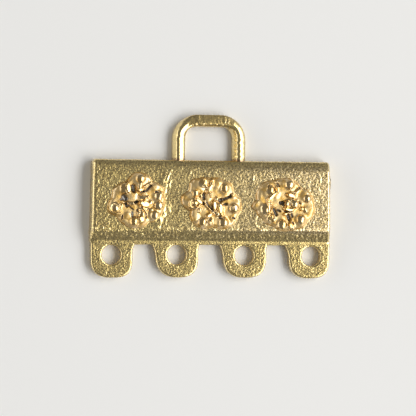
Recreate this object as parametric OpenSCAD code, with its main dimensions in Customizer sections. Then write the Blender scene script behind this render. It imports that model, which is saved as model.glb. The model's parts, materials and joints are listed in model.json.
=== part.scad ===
// Four-strand connector: a small gold-plated cast bar with three flower rosettes in relief,
// four drilled eyelets along one edge and a loop for the clasp on the other.
// Millimetres. It lies on its back: X runs along the bar, Y from the eyelets to the loop,
// Z from the back to the front. The origin is at the middle of the footprint, on the back.

/* [Bar] */
// Length of the bar along its loop edge
bar_l_loop_edge = 24.3; // [23.4:0.05:26]
// Length of the bar along its eyelet edge
bar_l_eyelet_edge = 24.55; // [23.6:0.05:26]
// Width of the bar from the eyelet edge to the loop edge
bar_w = 8.5; // [7.5:0.1:10]
// Thickness of the bar at its flat front
bar_t = 1.75; // [1.6:0.05:2.4]
// Height of the upright wall under the bevel of the loop edge
edge_loop_t = 1.25; // [1.1:0.05:1.5]
// Height of the ledge along the eyelet edge
edge_eyelet_t = 1; // [0.95:0.05:1.5]
// Width of the bevel along the loop edge
bevel_loop = 0.85; // [0.4:0.05:1.2]
// Distance from the eyelet edge to the top of the bevel along it
bevel_eyelet = 1.35; // [0.7:0.05:1.5]
// Width of the flat ledge at the foot of that bevel
ledge_w = 0.4; // [0.1:0.05:0.6]

/* [End rim] */
// Width of the thin raised rim at the left end of the front
rim_w = 0.25; // [0.2:0.05:0.5]
// Height of that rim above the front
rim_t = 0.1; // [0.05:0.05:0.2]

/* [Eyelets] */
// Width of an eyelet's plate
plate_w = 4.2; // [3.8:0.05:4.3]
// Thickness of an eyelet's plate
plate_t = 0.95; // [0.8:0.05:1]
// How far an eyelet's plate reaches below the bar
plate_drop = 3.25; // [3.2:0.05:3.8]
// Diameter of an eyelet's bore
bore_d = 1.95; // [1.4:0.05:1.95]
// How far the bore's centre lies below the bar
bore_drop = 1.03; // [1.03:0.01:1.1]
// Largest flare where a plate meets the bar
flare = 0.4; // [0.2:0.05:0.5]

/* [Loop] */
// Width of the loop's metal, seen from the front
metal_w = 1.25; // [1:0.05:1.4]
// Thickness of the loop's metal, from its flat back to the top of its domed front
metal_t = 1.3; // [1:0.05:1.4]
// Radius of the domed front
dome_r = 0.75; // [0.7:0.05:1.5]
// Width of the loop between the middles of its legs
loop_w = 6.2; // [5:0.05:8]
// Height of the loop's outside above the bar
loop_h = 4.65; // [3.6:0.05:7]
// Radius of the loop's corners at the middle of its metal
loop_r = 1.9; // [1:0.1:2.2]
// How far the loop's middle lies right of the bar's middle
loop_x = -0.15; // [-1:0.05:1]

/* [Rosettes] */
// Distance from one rosette to the next
rosette_pitch = 7.5; // [6.8:0.05:7.6]
// Radius of the low mound under a rosette's lobes
mound_r = 2.35; // [2:0.05:2.5]
// Height of that mound above the bar's front
mound_t = 0.3; // [0.2:0.05:0.4]

/* [Sprue nub] */
// How far the stub of the cast sprue stands out of the right end
nub_out = 0.2; // [0.1:0.05:0.4]
// Radius of its rounded end
nub_r = 1; // [0.8:0.1:1.5]
// How far it lies above the bar's middle line
nub_y = 2.1; // [1.5:0.1:2.5]
// How far it starts above the back
nub_z = 0.2; // [0.1:0.05:0.4]

/* [Hidden] */
$fn = 48;
gold = "gold";

// How far solids that are one casting reach into each other
sink = 0.3;
// How far a cutter reaches past the face it opens
past = 0.5;
// A depth below the front that no lobe's ball reaches
lobe_depth = 4;

bar_l = max(bar_l_loop_edge, bar_l_eyelet_edge);
strands = 4;
plate_pitch = (bar_l_eyelet_edge - plate_w) / (strands - 1);

// Casting flaws of each eyelet, left to right, added to the sizes above:
// plate to the right, plate width, plate drop, bore to the right of its plate, bore drop,
// radius of the round end, and the shares of the flare on the left and on the right
PLATE_DX = 0;
PLATE_DW = 1;
PLATE_DD = 2;
BORE_DX = 3;
BORE_DD = 4;
END_R = 5;
FLARE_L = 6;
FLARE_R = 7;
EYELETS = [
    [0.18, 0.03, 0.07, -0.03, 0.00, 2.45, 0.02, 0.40],
    [0.05, 0.14, 0.03, -0.03, -0.04, 2.25, 0.80, 0.20],
    [0.25, 0.25, 0.02, -0.05, 0.00, 2.35, 0.80, 0.20],
    [0.19, 0.00, 0.05, 0.19, 0.03, 2.30, 1.00, 0.02],
];

// A lobe, bead or pit: right of the rosette's centre, up, radius, height above the bar's front
X = 0;
Y = 1;
R = 2;
T = 3;
// A petal: one end right and up, other end right and up, radius, height above the bar's front
X2 = 2;
Y2 = 3;
PETAL_R = 4;
PETAL_T = 5;
PETAL_BALLS = 3;

// Left rosette
CENTRE_1 = [-rosette_pitch - 0.15, 0.2];
LOBES_1 = [
    [0.37, 1.95, 0.95, 0.55],
    [-1.64, 1.1, 1.05, 0.5],
    [-2.25, -0.85, 0.7, 0.45],
    [-1.3, -1.7, 0.75, 0.42],
    [-0.2, -2.05, 0.75, 0.5],
    [1.7, -1.4, 1, 0.55],
    [2.15, 0.05, 0.85, 0.5],
    [1.9, 1.25, 0.75, 0.38],
];
BEADS_1 = [
    [0.37, 2.13, 0.43, 0.85],
    [-1.7, 1.15, 0.48, 0.8],
    [-2.32, -0.87, 0.42, 0.7],
    [-0.23, -2.16, 0.45, 0.8],
    [1.74, -1.45, 0.45, 0.85],
    [2.26, -0.53, 0.36, 0.75],
    [2.19, 0.52, 0.38, 0.75],
];
PETALS_1 = [
    [0.2, -0.38, 1.1, -0.3, 0.3, 0.75],
    [0.15, 0.35, 1.2, 0.25, 0.25, 0.65],
    [0.25, -1.1, 0.65, -1.6, 0.28, 0.7],
    [-1.65, -0.35, -1.4, -1.05, 0.26, 0.65],
];
PITS_1 = [
    [-0.52, 1.12, 0.42, 0.12],
    [1.05, 1.15, 0.4, 0.12],
    [-1.2, 0.2, 0.48, 0.1],
    [-0.55, -0.62, 0.34, 0.15],
    [-1.43, -1.72, 0.22, 0.2],
];

// Middle rosette
CENTRE_2 = [0.05, 0.05];
LOBES_2 = [
    [-1.1, 1.75, 0.95, 0.5],
    [0.2, 1.95, 0.7, 0.5],
    [1.3, 1.4, 1, 0.55],
    [-2.05, 0.35, 0.85, 0.5],
    [-1.75, -0.9, 0.8, 0.42],
    [2.1, -0.5, 0.85, 0.55],
    [-1, -1.85, 0.75, 0.5],
    [1.15, -1.8, 0.9, 0.5],
    [0, -1.95, 0.6, 0.42],
];
BEADS_2 = [
    [-0.99, 1.9, 0.45, 0.8],
    [1.26, 1.4, 0.45, 0.85],
    [-1.73, 0.02, 0.42, 0.8],
    [2.2, -0.57, 0.48, 0.85],
    [-1.02, -1.96, 0.45, 0.8],
    [1.13, -1.94, 0.48, 0.8],
    [-1.67, 0.94, 0.3, 0.75],
];
PETALS_2 = [
    [-0.5, 1.2, 0.05, 1.7, 0.3, 0.78],
    [-0.85, 0.1, -0.35, -0.85, 0.24, 0.68],
    [0.25, -0.3, 0.65, -1.05, 0.36, 0.8],
    [-0.19, -1.3, -0.17, -2, 0.24, 0.7],
];
PITS_2 = [
    [-0.76, 0.62, 0.36, 0.12],
    [1, 0.1, 0.34, 0.12],
    [1.7, 0.5, 0.32, 0.15],
    [2, -1.5, 0.22, 0.2],
];

// Right rosette
CENTRE_3 = [rosette_pitch - 0.1, 0];
LOBES_3 = [
    [-1.5, 1.35, 0.95, 0.5],
    [0.6, 1.8, 0.95, 0.55],
    [2.2, 0.9, 0.8, 0.5],
    [2.3, -0.5, 0.75, 0.45],
    [-2.1, -0.65, 0.95, 0.5],
    [-1.1, -1.55, 0.75, 0.45],
    [0.15, -2.05, 0.9, 0.5],
    [1.7, -1.6, 0.85, 0.55],
];
BEADS_3 = [
    [-1.45, 1.3, 0.44, 0.8],
    [0.65, 1.83, 0.48, 0.85],
    [2.36, 0.52, 0.42, 0.8],
    [-1.84, -0.68, 0.5, 0.85],
    [-0.13, -2.13, 0.48, 0.8],
    [1.75, -1.61, 0.44, 0.85],
    [0.75, -2.26, 0.3, 0.7],
];
PETALS_3 = [
    [-0.75, 1.35, -1.1, 0.55, 0.27, 0.75],
    [0.4, 0.95, 1.35, 1.12, 0.26, 0.7],
    [0.3, 0, 1.25, -0.05, 0.33, 0.82],
    [0.5, -0.6, 1.1, -0.65, 0.25, 0.65],
];
PITS_3 = [
    [-0.2, 0.15, 0.3, 0.15],
    [-0.65, -0.85, 0.42, 0.12],
    [0.74, -1.25, 0.38, 0.15],
    [-0.63, 2, 0.2, 0.25],
];

// The middle of the footprint, seen from the middle of the bar
function plate_foot(e) = -bar_w / 2 - plate_drop - e[PLATE_DD];
foot_y = min([for (e = EYELETS) plate_foot(e)]);
top_y = bar_w / 2 + loop_h;
mid = [nub_out / 2, (foot_y + top_y) / 2, 0];

// The bar's body: its section across the two bevels, cut to its plan, a little longer at the eyelets
module bar_body() {
    intersection() {
        translate([-bar_l, 0, 0])
        rotate([90, 0, 90])
        linear_extrude(2 * bar_l)
        polygon([
            [-bar_w / 2, 0],
            [bar_w / 2, 0],
            [bar_w / 2, edge_loop_t],
            [bar_w / 2 - bevel_loop, bar_t],
            [-bar_w / 2 + bevel_eyelet, bar_t],
            [-bar_w / 2 + ledge_w, edge_eyelet_t],
            [-bar_w / 2, edge_eyelet_t],
        ]);
        translate([0, 0, -past])
        linear_extrude(bar_t + 2 * past)
        polygon([
            [-bar_l_eyelet_edge / 2, -bar_w / 2 - past],
            [bar_l_eyelet_edge / 2, -bar_w / 2 - past],
            [bar_l_loop_edge / 2, bar_w / 2 + past],
            [-bar_l_loop_edge / 2, bar_w / 2 + past],
        ]);
    }
}

// The thin rim that the casting left along the left end of the front
module end_rim() {
    rim_y = -bar_w / 2 + bevel_eyelet;
    rim_l = bar_w - bevel_eyelet - bevel_loop;
    translate([-min(bar_l_loop_edge, bar_l_eyelet_edge) / 2, rim_y, bar_t - sink])
    cube([rim_w, rim_l, sink + rim_t]);
}

// One eyelet: a flat plate with a round end, flared where it meets the bar's edge, and its bore
module eyelet(i) {
    e = EYELETS[i];
    place = (i - (strands - 1) / 2) * plate_pitch;
    w = plate_w + e[PLATE_DW];
    end_r = e[END_R];
    drop = plate_drop + e[PLATE_DD];
    round_y = end_r - drop;
    flare_l = flare * e[FLARE_L];
    flare_r = flare * e[FLARE_R];
    color(gold)
    translate(-mid)
    translate([place + e[PLATE_DX], -bar_w / 2, 0])
    difference() {
        linear_extrude(plate_t)
        union() {
            polygon([
                [-w / 2 - flare_l, 0],
                [-w / 2, -flare_l],
                [-w / 2, round_y],
                [w / 2, round_y],
                [w / 2, -flare_r],
                [w / 2 + flare_r, 0],
            ]);
            intersection() {
                translate([0, round_y]) circle(r = end_r);
                translate([-w / 2, -drop - past]) square([w, drop + past + round_y + sink]);
            }
        }
        translate([e[BORE_DX], -bore_drop - e[BORE_DD], -past])
        cylinder(d = bore_d, h = plate_t + 2 * past);
    }
}

module eyelet_1() {
    eyelet(0);
}

module eyelet_2() {
    eyelet(1);
}

module eyelet_3() {
    eyelet(2);
}

module eyelet_4() {
    eyelet(3);
}

// The section of the loop's metal: a flat back, upright sides and a domed front
module loop_section() {
    intersection() {
        translate([-metal_w / 2, 0]) square([metal_w, metal_t]);
        translate([0, metal_t - dome_r]) circle(r = dome_r);
    }
}

// The loop: two straight legs, two round corners and a straight top, all of one section
module clasp_loop() {
    leg_x = loop_w / 2;
    top_line = loop_h - metal_w / 2;
    leg_h = top_line - loop_r;
    color(gold)
    translate(-mid)
    translate([loop_x, bar_w / 2, 0]) {
        for (side = [-1, 1]) {
            translate([side * leg_x, leg_h, 0])
            rotate([90, 0, 0])
            linear_extrude(leg_h)
            loop_section();
            translate([side * (leg_x - loop_r), leg_h, 0])
            rotate([0, 0, side > 0 ? 0 : 90])
            rotate_extrude(angle = 90)
            translate([loop_r, 0])
            loop_section();
        }
        translate([-leg_x + loop_r, top_line, 0])
        rotate([90, 0, 90])
        linear_extrude(2 * (leg_x - loop_r))
        loop_section();
    }
}

// A low round lobe: the cap of a ball that rises from the bar's front
module lobe(row) {
    ball_r = (row[R] * row[R] + row[T] * row[T]) / (2 * row[T]);
    translate([row[X], row[Y], row[T] - ball_r]) sphere(r = ball_r);
}

// A bead: a small ball whose top is at its height
module bead(row) {
    translate([row[X], row[Y], row[T] - row[R]]) sphere(r = row[R]);
}

// A petal: a short row of balls that run into each other
module petal(row) {
    for (i = [0:PETAL_BALLS - 1]) {
        along = i / (PETAL_BALLS - 1);
        bead([
            row[X] + along * (row[X2] - row[X]),
            row[Y] + along * (row[Y2] - row[Y]),
            row[PETAL_R],
            row[PETAL_T],
        ]);
    }
}

// One flower rosette, cast in one with the bar
module rosette(centre, lobes, beads, petals, pits) {
    translate([centre[X], centre[Y], bar_t])
    difference() {
        union() {
            difference() {
                union() {
                    translate([0, 0, -sink]) cylinder(r = mound_r, h = sink + mound_t);
                    for (row = lobes) lobe(row);
                }
                for (row = pits) translate([row[X], row[Y], row[T] + row[R]]) sphere(r = row[R]);
            }
            for (row = beads) bead(row);
            for (row = petals) petal(row);
        }
        translate([0, 0, -lobe_depth]) cylinder(r = 2 * mound_r, h = lobe_depth - sink);
    }
}

// The stub that is left of the sprue, on the right end
module sprue_nub() {
    translate([bar_l / 2 + nub_out - nub_r, nub_y, nub_z])
    cylinder(r = nub_r, h = edge_loop_t - nub_z);
}

// The bar with all that stands up from its front and its end, in one solid
module bar() {
    color(gold)
    translate(-mid) {
        bar_body();
        end_rim();
        rosette(CENTRE_1, LOBES_1, BEADS_1, PETALS_1, PITS_1);
        rosette(CENTRE_2, LOBES_2, BEADS_2, PETALS_2, PITS_2);
        rosette(CENTRE_3, LOBES_3, BEADS_3, PETALS_3, PITS_3);
        sprue_nub();
    }
}

bar();
clasp_loop();
eyelet_1();
eyelet_2();
eyelet_3();
eyelet_4();
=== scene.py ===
import itertools
import json

import bpy
import numpy as np
from mathutils import Matrix, Vector


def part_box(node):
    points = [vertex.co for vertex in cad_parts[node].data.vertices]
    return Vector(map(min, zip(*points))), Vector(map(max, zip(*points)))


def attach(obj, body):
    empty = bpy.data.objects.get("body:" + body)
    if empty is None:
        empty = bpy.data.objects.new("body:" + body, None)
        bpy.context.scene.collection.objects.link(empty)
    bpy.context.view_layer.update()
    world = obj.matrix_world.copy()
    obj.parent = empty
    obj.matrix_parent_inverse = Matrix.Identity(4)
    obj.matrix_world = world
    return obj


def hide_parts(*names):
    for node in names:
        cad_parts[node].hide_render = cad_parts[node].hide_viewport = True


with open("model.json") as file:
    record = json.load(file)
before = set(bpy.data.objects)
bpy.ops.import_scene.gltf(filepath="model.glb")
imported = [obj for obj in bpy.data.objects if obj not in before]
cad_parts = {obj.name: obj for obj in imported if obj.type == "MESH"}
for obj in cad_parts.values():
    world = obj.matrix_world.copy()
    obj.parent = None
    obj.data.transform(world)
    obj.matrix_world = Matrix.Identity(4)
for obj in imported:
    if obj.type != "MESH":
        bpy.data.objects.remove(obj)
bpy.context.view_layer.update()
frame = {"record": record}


# ---- The bar ----
# The body of the connector: a flat bar of cast brass with a bevel along each long edge, a thin
# rim that the mould left at its left end and the stub of the sprue on its right end.
# The plating covers the sand grain of the casting without filling it.
MM = 0.001
# In millimetres, like all sizes of the pieces: _l is a length, _w a width, _t a thickness
bar_low, bar_high = (np.array(corner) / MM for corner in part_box("bar"))
bar_l_loop_edge = 24.3
bar_l_eyelet_edge = 24.55
bar_w = bar_high[1] - bar_low[1]
bar_t = 1.75
edge_loop_t = 1.25
edge_eyelet_t = 0.98
ledge_w = 0.4
bevel_loop = 0.85
bevel_eyelet = 1.52
bevel_middle = 0.95
bar_mid = np.array([bar_low[0] + bar_l_eyelet_edge / 2, (bar_low[1] + bar_high[1]) / 2, 0.0])
LATTICE = 256
WANDER_SCALE = 1.6


def wander(points, size, seed):
    """Smooth wandering numbers between about -1 and 1: every corner of a lattice of cubes has a
    slope in a random direction, and the eight slopes around a point are blended by an S-curve."""
    draw = np.random.default_rng(seed)
    order = np.concatenate([draw.permutation(LATTICE)] * 2)
    slopes = draw.normal(size=(LATTICE, 3))
    slopes /= np.linalg.norm(slopes, axis=1, keepdims=True)
    place = np.asarray(points) / size
    cell = np.floor(place).astype(int)
    inside = place - cell
    blend = inside ** 3 * (inside * (6 * inside - 15) + 10)
    total = np.zeros(place.shape[:-1])
    for corner in itertools.product((0, 1), repeat=3):
        ix, iy, iz = np.moveaxis((cell + corner) % LATTICE, -1, 0)
        slope = slopes[order[order[order[ix] + iy] + iz]]
        share = np.prod(np.where(np.array(corner) == 1, blend, 1 - blend), axis=-1)
        total += share * ((inside - corner) * slope).sum(axis=-1)
    return WANDER_SCALE * total


def lumps(points, *kinds):
    """The sum of several kinds of wandering numbers, each given by its height, size and seed."""
    return sum(height * wander(points, size, seed) for height, size, seed in kinds)


def ramp(low, high, value):
    """0 below low, 1 above high, and an S-curve between them."""
    share = np.clip((value - low) / (high - low), 0, 1)
    return share * share * (3 - 2 * share)


def rounded_outline(corners, reach, spacing):
    """A closed outline: each corner of a polygon is cut off at its reach and bridged by a parabola
    that touches both sides. It is then walked in steps of the spacing wanted at each place."""
    corners = np.array(corners, float)
    back = np.roll(corners, 1, axis=0) - corners
    ahead = np.roll(corners, -1, axis=0) - corners
    reach = np.array(reach)[:, None]
    start = corners + reach * back / np.linalg.norm(back, axis=1, keepdims=True)
    end = corners + reach * ahead / np.linalg.norm(ahead, axis=1, keepdims=True)
    points_per_bend = 12
    s = np.linspace(0, 1, points_per_bend)[None, :, None]
    leave, arrive = (1 - s) ** 2 * start[:, None], s ** 2 * end[:, None]
    bends = leave + 2 * s * (1 - s) * corners[:, None] + arrive
    loop = bends.reshape(-1, 2)
    step = np.roll(loop, -1, axis=0) - loop
    cost = np.hypot(step[:, 0], step[:, 1]) / spacing(loop + step / 2)
    walked = np.concatenate([[0], np.cumsum(cost)])
    at = np.linspace(0, walked[-1], int(np.ceil(walked[-1])), endpoint=False)
    closed = np.vstack([loop, loop[:1]])
    return np.column_stack([np.interp(at, walked, closed[:, k]) for k in (0, 1)])


def facing(points, ring=False):
    """The direction square to the surface at each point of a grid whose columns close: the cross
    product of the step to the next column and the step to the next row."""
    across = np.roll(points, -1, axis=1) - np.roll(points, 1, axis=1)
    if ring:
        along = np.roll(points, -1, axis=0) - np.roll(points, 1, axis=0)
    else:
        along = np.gradient(points, axis=0)
    square = np.cross(across, along)
    return square / np.maximum(np.linalg.norm(square, axis=-1, keepdims=True), 1e-9)


def lay_skin(name, skin, finish, ring=False):
    """Makes a closed mesh from a grid of points in millimetres and the marks that its points carry.
    The grid's columns close into rings; its rows close too, or else the first and the last row are
    each one point, where triangles meet."""
    points, marks = skin
    rows, columns = points.shape[:2]
    ids = np.arange(rows * columns).reshape(rows, columns)
    if ring:
        lower, upper = ids, np.roll(ids, -1, axis=0)
        fans = []
    else:
        lower, upper = ids[1:-2], ids[2:-1]
        fans = [
            np.stack([np.roll(ids[1], -1), ids[1], np.full(columns, ids[0, 0])], axis=-1),
            np.stack([ids[-2], np.roll(ids[-2], -1), np.full(columns, ids[-1, 0])], axis=-1),
        ]
    next_lower, next_upper = np.roll(lower, -1, axis=1), np.roll(upper, -1, axis=1)
    quads = np.stack([lower, next_lower, next_upper, upper], axis=-1).reshape(-1, 4)
    flat = points.reshape(-1, 3)
    halves = np.concatenate([quads[:, [0, 1, 2]], quads[:, [0, 2, 3]]] + fans)
    a, b, c = (flat[halves[:, k]] for k in range(3))
    inside_out = (a * np.cross(b, c)).sum() < 0
    if inside_out:
        quads = quads[:, ::-1]
        fans = [fan[:, ::-1] for fan in fans]
    used = np.unique(halves)
    place = np.zeros(len(flat), int)
    place[used] = np.arange(len(used))
    faces = place[quads].tolist()
    for fan in fans:
        faces += place[fan].tolist()
    mesh = bpy.data.meshes.new(name)
    mesh.from_pydata((flat[used] * MM).tolist(), [], faces)
    for mark, values in marks.items():
        layer = mesh.attributes.new(mark, "FLOAT", "POINT")
        layer.data.foreach_set("value", values.reshape(-1)[used].astype(np.float32))
    mesh.polygons.foreach_set("use_smooth", np.ones(len(mesh.polygons), bool))
    mesh.materials.append(finish)
    piece = bpy.data.objects.new(name, mesh)
    bpy.context.scene.collection.objects.link(piece)
    return piece


# Ridges that the flowing metal left on the front, from the bar's middle
FLOW_MARKS = [
    # x1, y1, x2, y2, bow, half width, height
    (-4.20, 3.35, -4.72, 2.05, 0.03, 0.070, 0.032),
    (-4.24, 2.40, -4.52, 1.20, 0.02, 0.070, 0.026),
    (-4.66, 1.85, -4.80, 0.70, 0.02, 0.065, 0.020),
    (-4.33, 0.45, -4.56, -0.65, 0.03, 0.070, 0.024),
    (-4.66, -1.60, -4.84, -2.40, 0.02, 0.080, 0.022),
    (-4.66, 3.20, -4.95, -1.30, 0.35, 0.34, 0.036),
    (-4.50, -0.10, -5.70, -2.65, 0.18, 0.36, 0.064),
    (-2.12, 3.40, -2.56, 2.35, 0.02, 0.095, 0.032),
    (4.20, 2.88, 4.10, 2.10, 0.00, 0.10, 0.032),
    (11.19, 2.60, 11.15, 2.00, 0.00, 0.06, 0.025),
    (4.32, -1.88, 5.30, -3.10, 0.05, 0.11, 0.028),
]
# Places where the metal set smooth; the last number is the share of the grain that they lack
SMOOTH_BANDS = [
    (-3.04, 3.40, -2.94, -1.60, -0.12, 0.20, 0.9),
    (-8.30, 3.60, -10.9, 2.20, 0.10, 0.40, 0.6),
]
rim_w = 0.06
rim_t = 0.035
rim_from_mid = bar_l_eyelet_edge / 2 - 0.2
rise_t = 0.045
rise_l = 17.0
stroke_l = 0.16
bevel_lump_t = 0.036
top_bevel_lump_t = 0.022
# Shares by which the crumbs are shallower to the right, deeper on the bevel, shallower on the ledge
calmer_right, rougher_bevel, calmer_ledge = 0.28, 0.6, 0.5


def each_row(table):
    """The columns of a table, shaped so that each row can be worked out over a whole grid."""
    return np.array(table).T[:, :, None, None]


def flow_marks(x, y, table):
    """Each mark is a bell-shaped ridge along a line between two points, bowed sideways by a
    parabola, that fades out towards its ends by the square root of a half wave."""
    x1, y1, x2, y2, bow, half_width, height = each_row(table)
    length = np.hypot(x2 - x1, y2 - y1)
    ux, uy = (x2 - x1) / length, (y2 - y1) / length
    along = ((x - x1) * ux + (y - y1) * uy) / length
    off = (x - x1) * uy - (y - y1) * ux - 4 * bow * along * (1 - along)
    fade = np.sin(np.pi * np.clip(along, 0, 1)) ** 0.5
    return (height * fade * np.exp(-((off / half_width) ** 2))).sum(axis=0)


def cast_skin(points):
    """How far the cast surface stands above its plain form: a slow swell, stronger along the wide
    bevel's upper edge, and a rise to the right by a half wave; crumbs of sand grain, looked up at
    wandering places, which pulls them into short strokes; coarser lumps on the bevels; and on the
    front the flow marks and the left end's rim, a bell-shaped ridge."""
    x, y, z = np.moveaxis(points - bar_mid, -1, 0)
    from_low_edge = y + bar_w / 2
    on_front = ramp(bar_t - 0.25, bar_t - 0.03, z)
    on_bevel_edge = ramp(0.5, 0.1, np.abs(from_low_edge - bevel_eyelet))
    on_bevel = ramp(0.45, 0.20, np.abs(from_low_edge - bevel_middle))
    on_ledge = ramp(0.30, 0.15, from_low_edge - ledge_w / 2)
    on_top_bevel = ramp(-0.1, 0.15, y - bar_w / 2 + bevel_loop) * ramp(-3, 9, x)
    swell = lumps(points, (0.010, 1.9, 3), (0.005, 0.7, 4))
    swell = swell + lumps(points, (0.022, 0.75, 7)) * on_bevel_edge
    swell = swell + rise_t * np.sin(np.pi * np.clip(x / rise_l, -0.5, 0.5)) * on_front
    drift = np.stack([wander(points, 0.42, 13), wander(points, 0.42, 14), 0 * x], axis=-1)
    crumbs = lumps(points + stroke_l * drift, (0.020, 0.15, 5)) + lumps(points, (0.006, 0.10, 6))
    depth = 1 - calmer_right * ramp(-10, -3, x) + rougher_bevel * on_bevel - calmer_ledge * on_ledge
    crumbs = crumbs * (1 - flow_marks(x, y, SMOOTH_BANDS)) * depth
    lump_t = bevel_lump_t * on_bevel + top_bevel_lump_t * on_top_bevel
    crumbs = crumbs + lump_t * wander(points, 0.26, 15)
    patchy = 0.7 + 0.9 * wander(points, 0.8, 8)
    rim = rim_t * np.exp(-(((x + rim_from_mid) / rim_w) ** 2))
    rim = rim * ramp(-3.4, -2.7, y) * ramp(3.3, 2.9, y) * patchy
    ridges = flow_marks(x, y, FLOW_MARKS) * (0.85 + 0.9 * wander(points, 0.4, 12)) + rim
    return swell + crumbs + ridges * on_front


class Term:
    """A number or colour in a finish's working; the signs + - * add Math nodes."""

    def __init__(self, finish, socket):
        self.finish, self.socket = finish, socket

    def _math(self, operation, first, second):
        return self.finish.node("ShaderNodeMath", {"operation": operation}, {0: first, 1: second})

    def __add__(self, other):
        return self._math("ADD", self, other)

    def __sub__(self, other):
        return self._math("SUBTRACT", self, other)

    def __rsub__(self, other):
        return self._math("SUBTRACT", other, self)

    def __mul__(self, other):
        return self._math("MULTIPLY", self, other)

    __radd__ = __add__
    __rmul__ = __mul__


LACQUER = {"Coat Weight": 1.0, "Coat Roughness": 0.15, "Coat IOR": 2.0}


class Finish:
    """A material being put together."""

    def __init__(self, name):
        self.material = bpy.data.materials.new(name)
        self.material.use_nodes = True
        self.tree = self.material.node_tree
        self.tree.nodes.clear()

    def node(self, kind, settings, sockets, gives=0):
        """Adds a node: first its settings, then the values or links of its sockets, which are
        named by place, name or identifier. It gives the wanted output."""
        node = self.tree.nodes.new(kind)
        for key, value in settings.items():
            setattr(node, key, value)
        for key, value in sockets.items():
            if isinstance(key, int) or key in node.inputs:
                entry = node.inputs[key]
            else:
                entry = next(s for s in node.inputs if s.identifier == key)
            if isinstance(value, Term):
                self.tree.links.new(value.socket, entry)
            else:
                entry.default_value = value
        outputs = node.outputs
        return Term(self, outputs[gives] if outputs else None)

    def mix(self, share, first, second):
        """A colour between two colours, by a share from 0 to 1."""
        return self.node(
            "ShaderNodeMix", {"data_type": "RGBA"},
            {"Factor_Float": share, "A_Color": first, "B_Color": second}, gives=2,
        )

    def share(self, value, low, high):
        """0 where the value is past low, 1 where it is past high, and an S-curve between them."""
        return self.node(
            "ShaderNodeMapRange", {"interpolation_type": "SMOOTHSTEP"},
            {"Value": value, "From Min": low, "From Max": high},
        )

    def grain(self, width_mm, detail=2.0, roughness=0.5):
        """Noise between 0 and 1 whose lumps are about that many millimetres wide."""
        here = self.node("ShaderNodeTexCoord", {}, {}, gives="Object")
        scale = 1 / (width_mm * MM)
        return self.node(
            "ShaderNodeTexNoise", {},
            {"Vector": here, "Scale": scale, "Detail": detail, "Roughness": roughness},
        )

    def mark(self, name):
        """A number that the mesh carries at each point, or 0 where it carries none."""
        return self.node("ShaderNodeAttribute", {"attribute_name": name}, {}, gives="Fac")

    def metal(self, colour, roughness, height, depth_mm, bare=1.0):
        """Ends the working: plated metal of that colour and roughness, with a fine bump, under a
        clear lacquer that whitens the highlights. Where less of it is bare, it mirrors less."""
        bump = self.node(
            "ShaderNodeBump", {}, {"Strength": 1.0, "Distance": depth_mm * MM, "Height": height},
        )
        skin = self.node("ShaderNodeBsdfPrincipled", {}, {
            "Base Color": colour, "Metallic": bare, "Roughness": roughness, "Normal": bump,
            **LACQUER,
        })
        self.node("ShaderNodeOutputMaterial", {}, {"Surface": skin})
        return self.material


GOLD = (0.84, 0.63, 0.195, 1)
GOLD_PALE = (0.85, 0.66, 0.27, 1)
GOLD_DULL = (0.53, 0.368, 0.115, 1)
# Painted highlight: the paler gold that the front turns to towards the right
GOLD_PAINTED_SHEEN = (0.86, 0.665, 0.34, 1)


def cast_gold():
    """Matt cast gold: two tones that drift into each other, paled towards the right of the front by
    a painted highlight, duller in the fine dips of the grain and polished in small spots on top of
    it.
    The walls of the bores mirror less and show more of its own colour."""
    finish = Finish("cast_gold")
    tone = finish.grain(1.4, detail=3.0)
    clean = finish.share(finish.grain(0.16), 0.38, 0.56)
    fine = finish.grain(0.08, roughness=0.6)
    polished = finish.share(finish.grain(0.13), 0.48, 0.60)
    # Painted highlight: this mark pales the front's gold towards the right
    plated = finish.mix(finish.mark("pale"), finish.mix(tone, GOLD, GOLD_PALE), GOLD_PAINTED_SHEEN)
    colour = finish.mix(clean, GOLD_DULL, plated)
    bare = 1 - 0.65 * finish.mark("bore")
    return finish.metal(colour, 0.28 + 0.06 * fine - 0.15 * polished, fine, 0.008, bare)


grained_gold = cast_gold()
left_round = 0.36
right_round = 0.20
left_lean = 0.06
right_lean = 0.18
right_over = 0.04
nub_l = 0.2
nub_half_w = 0.62
nub_y = 2.1


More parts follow.
